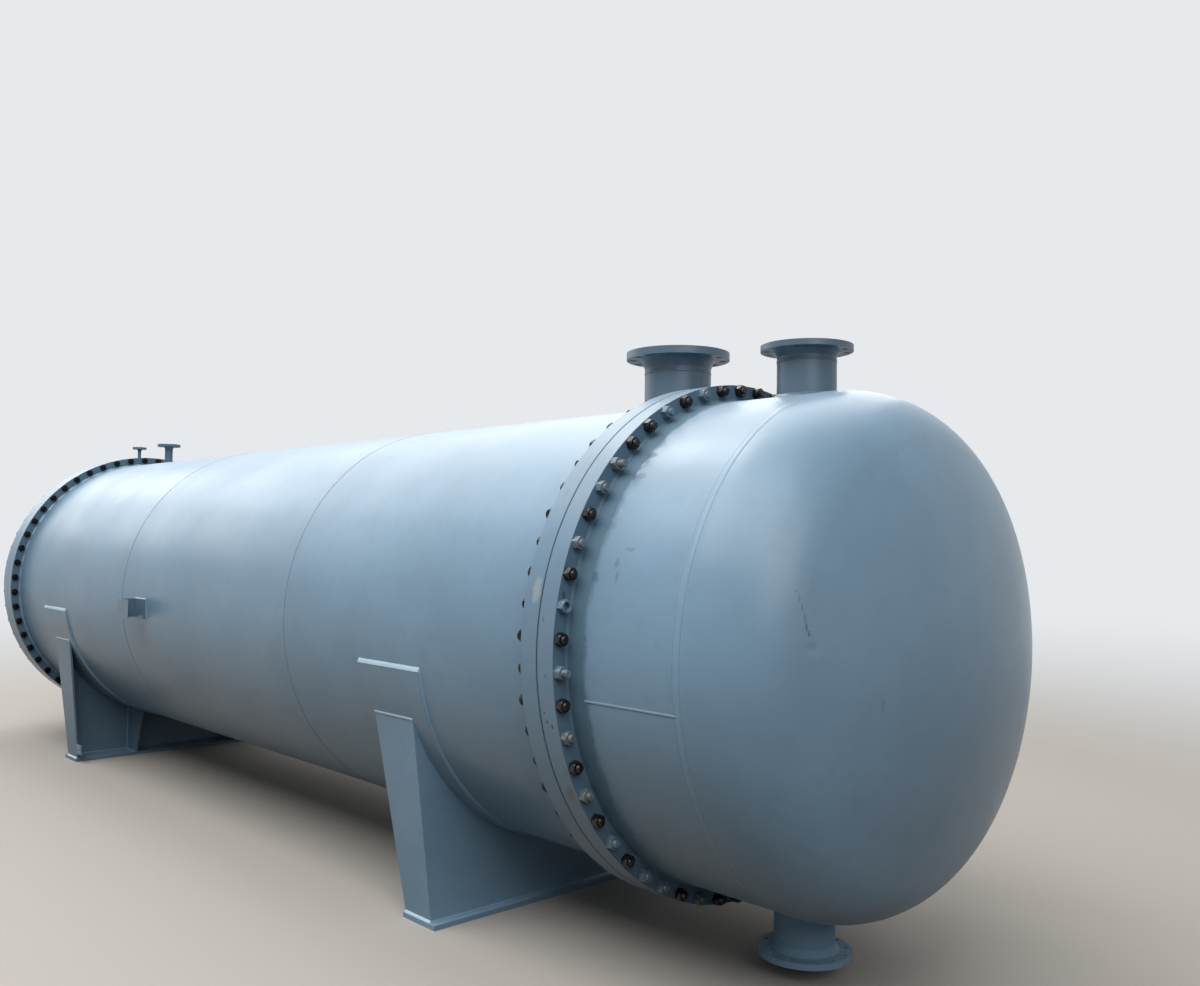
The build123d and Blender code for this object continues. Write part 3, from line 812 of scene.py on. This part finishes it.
# %% Nozzle welds
# Each nozzle's neck radius, the height from its hub's weld to its gasket face, and its fillet's leg
nozzle_sizes = {
    "shell_inlet": (0.1365, 0.088, 0.013),
    "channel_top": (0.1095, 0.062, 0.011),
    "channel_bottom": (0.1095, 0.062, 0.011),
    "shell_vent": (0.0285, 0.045, 0.007),
    "channel_vent": (0.0125, 0.040, 0.005),
}
nozzle_welds = Shapes()
faces = {mount["name"]: Vector(mount["pos_m"]) for mount in frame["record"]["mounts"]}
for name, (neck, hub_height, leg) in nozzle_sizes.items():
    face = faces[f"{name}_bore"]
    way = 1 if face.z > axis_z else -1
    wall = shell_radius if name.startswith("shell") else barrel_radius
    count = 2 * max(12, round(math.pi * neck / 0.008))
    turns = [math.tau * k / count for k in range(count)]
    outs = [Vector((math.cos(turn), math.sin(turn), 0)) for turn in turns]
    corner, up_wall, seam = [], [], []
    for out in outs:
        normal = Vector((0, out.y * neck, way * math.sqrt(wall ** 2 - (out.y * neck) ** 2)))
        corner.append(Vector((face.x + out.x * neck, 0, axis_z)) + normal)
        normal.normalize()
        up_wall.append((out - normal * out.dot(normal)).normalized())
        seam.append(Vector((face.x, 0, face.z - way * hub_height)) + out * neck)
    fillet(nozzle_welds, corner, [Vector((0, 0, way))] * count, up_wall, leg, closed=True, seed=51)
    bead(nozzle_welds, seam, outs, 0.8 * leg, 0.0014, closed=True, seed=52)
    print(name, "stands", round(abs(face.z - axis_z) - shell_radius, 3), "m out of the shell")
nozzle_welds.make("nozzle_weld_beads", nozzle_shaded_paint, crisp=60)

# %% Rounds at the girth flanges' hubs
hub_root = barrel_radius + 0.006
round_radius = 0.009
corner_depth = 0.002  # how far the round's back lies in the forging
points_round = 240
slope = math.atan2(hub_root - barrel_radius, near_hub_end - near_face)
tangent = round_radius * math.tan((math.pi / 2 - slope) / 2)
for face_x, way in ((near_face, 1), (far_face, -1)):
    section = [(-corner_depth, -corner_depth)]
    for step in range(7):
        turn = math.pi + (math.pi / 2 - slope) * step / 6
        section.append((round_radius * (1 + math.cos(turn)), tangent + round_radius * math.sin(turn)))
    rings = []
    for k in range(points_round):
        angle = 360 * k / points_round
        rings.append([around(face_x + way * along, hub_root + out, angle) for along, out in section])
    hub_rounds.skin(rings, closed=True)
hub_rounds.make("flange_hub_rounds", finishes["near_channel_flange"], crisp=60)

# %% [markdown]
# ## Bracket welds
#
# The data plate's bracket is a bent strip that was welded to the shell all round its back. The shell
# falls away downwards there, so the lower weld starts further in than the upper one. Both ends are
# worked out from the shell's round at the bracket's two heights.

# %% Weld the bracket
forward = (0, -1, 0)
bracket_low, bracket_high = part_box("data_plate_bracket")
low_z, high_z = bracket_low.z, bracket_high.z
low_y, high_y = [-math.sqrt(shell_radius ** 2 - (z - axis_z) ** 2) for z in (low_z, high_z)]
for y, z, way in ((low_y, low_z, -1), (high_y, high_z, 1)):
    start, end = (bracket_low.x, y, z), (bracket_high.x, y, z)
    line_fillet(welds, start, end, (0, 0, way), forward, 0.006, 0.005, seed=61)
for x, way in ((bracket_low.x, -1), (bracket_high.x, 1)):
    line_fillet(welds, (x, low_y, low_z), (x, high_y, high_z), (way, 0, 0), forward, 0.006, seed=62)

# %% [markdown]
# ## Paint on the welds
#
# Paint on the welds is a little paler than on the plates, as painted highlight where a bead catches
# the light, and a little shinier. The beads could share the plates' paint, but at this distance they
# would hardly show. So they have paints of their own. The thick welds on top of the pads, and above
# and below the end ribs, have the palest one, a strong painted highlight. The course seams instead
# take the rims' darker tint, as painted shade.

# %% Finish the beads
# The head seam's paint is paler than the coat, as a painted highlight
seam_paint = vessel_paint("seam_paint", tint=scaled(vessel_tint, 1.06)[:3], rough=0.32)
seams.make("head_seam_beads", seam_paint, crisp=60)
# The course seams take the rims' darker tint, as painted shade
course_seams.make("course_seam_beads", vessel_paint("course_seam_paint", rim_shade_tint), crisp=60)
# The other welds' paint is a little paler, as a painted highlight
weld_paint = vessel_paint("weld_paint", tint=scaled(vessel_tint, 1.02)[:3], rough=0.30)
welds.make("weld_beads", weld_paint, crisp=60)
# The thick welds' paint is much paler, a strong painted highlight
thick_weld_highlight_paint = vessel_paint("thick_weld_painted_highlight", tint=(0.36, 0.50, 0.60), rough=0.24)
bright_welds.make("thick_weld_beads", thick_weld_highlight_paint, crisp=60)
